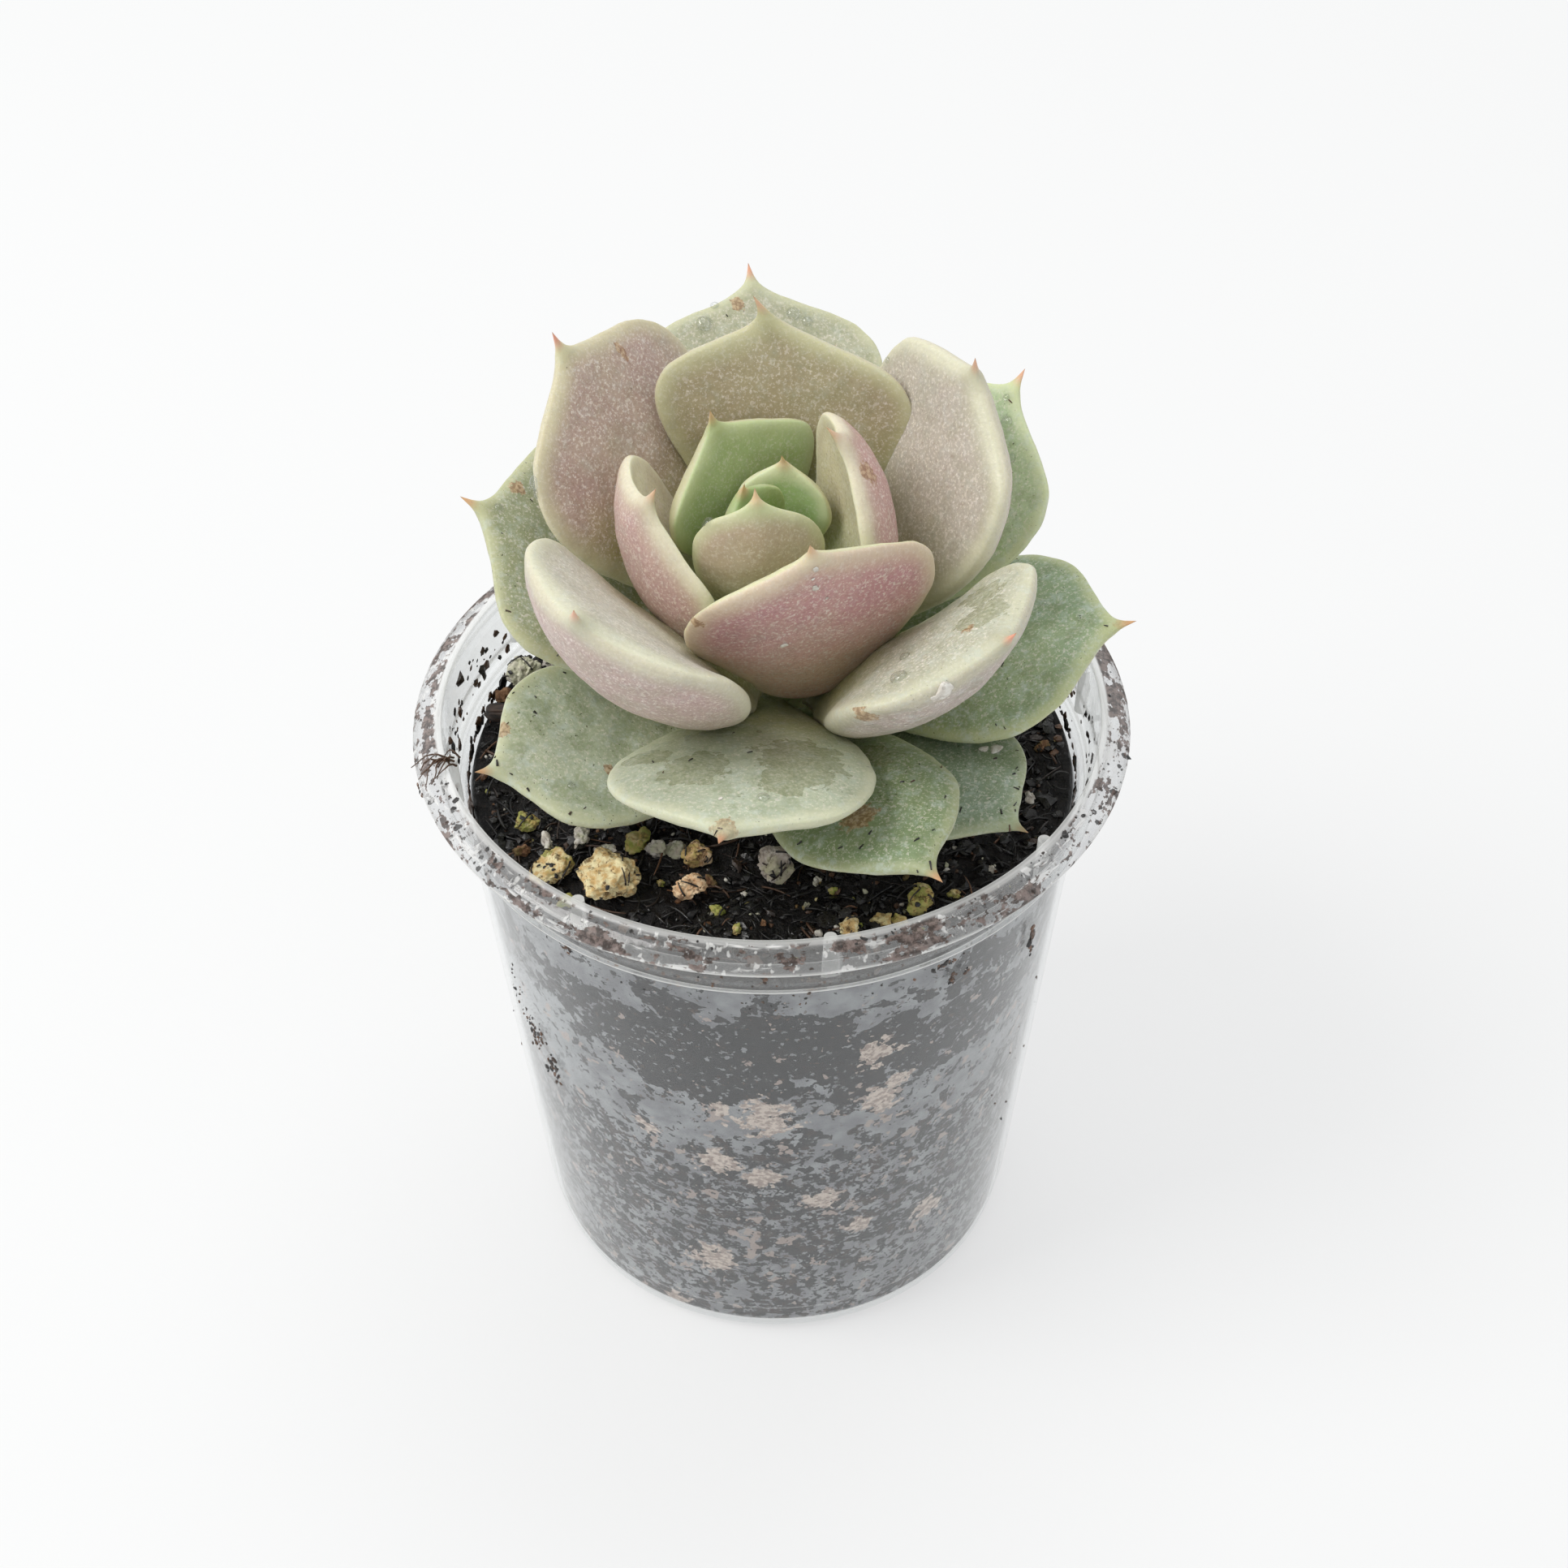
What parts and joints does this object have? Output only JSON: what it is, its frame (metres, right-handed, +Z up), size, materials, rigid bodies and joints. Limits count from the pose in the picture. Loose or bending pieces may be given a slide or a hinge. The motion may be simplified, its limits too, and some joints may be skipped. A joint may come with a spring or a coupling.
{
  "type": "potted succulent",
  "caption": "Small fleshy-leaved rosette succulent growing in a peat and pumice mix in a clear plastic nursery pot with a rolled rim.",
  "frame": {"origin": "centre of the flat underside of the pot, on the surface it stands on", "axes": "+Z up along the pot's axis; -Y is the side the rosette leans towards, which is its front; +X to the right seen from the front"},
  "size_m": [0.06, 0.0642, 0.0895],
  "materials": {
    "clear_plastic": "clear thin-wall thermoformed plastic, glossy, a little milky at the rim",
    "peat_mix": "dark moist peat with fibres, fine perlite and pumice crumbs",
    "stem_skin": "pale green fleshy stem, matt",
    "leaf_low": "older dull green succulent leaf with a waxy bloom",
    "leaf_outer": "blue-green succulent leaf, frosted with wax, yellow-green edge and orange-pink spine",
    "leaf_middle": "mauve-pink over green, satin wax, cream-green edge",
    "leaf_inner": "pink-magenta outside, green inside, satin wax, cream edge",
    "leaf_core": "young saturated green, satin",
    "pumice": "rough yellow-brown pumice with green algae",
    "perlite": "rough white perlite",
    "bark": "dark wet bark chip, rough"
  },
  "bodies": {
    "root": {"pot": "clear_plastic", "soil": "peat_mix", "stem": "stem_skin", "leaf_outer_1": "leaf_outer", "leaf_outer_2": "leaf_outer", "leaf_outer_3": "leaf_outer", "leaf_outer_4": "leaf_outer", "leaf_outer_5": "leaf_outer", "leaf_outer_6": "leaf_outer", "leaf_outer_7": "leaf_outer", "leaf_outer_8": "leaf_outer", "leaf_middle_1": "leaf_middle", "leaf_middle_2": "leaf_middle", "leaf_middle_3": "leaf_middle", "leaf_middle_4": "leaf_middle", "leaf_middle_5": "leaf_middle", "leaf_inner_1": "leaf_inner", "leaf_inner_2": "leaf_inner", "leaf_inner_3": "leaf_inner", "leaf_inner_4": "leaf_inner", "leaf_core_1": "leaf_core", "leaf_core_2": "leaf_core", "leaf_core_3": "leaf_core", "leaf_low_1": "leaf_low", "leaf_low_2": "leaf_low", "leaf_low_3": "leaf_low", "pumice_1": "pumice", "pumice_2": "pumice", "pumice_3": "pumice", "pumice_4": "pumice", "pumice_5": "pumice", "pumice_6": "pumice", "pumice_7": "pumice", "pumice_8": "pumice", "perlite_1": "perlite", "perlite_2": "perlite", "perlite_3": "perlite", "bark_chip": "bark"}
  },
  "joints": []
}
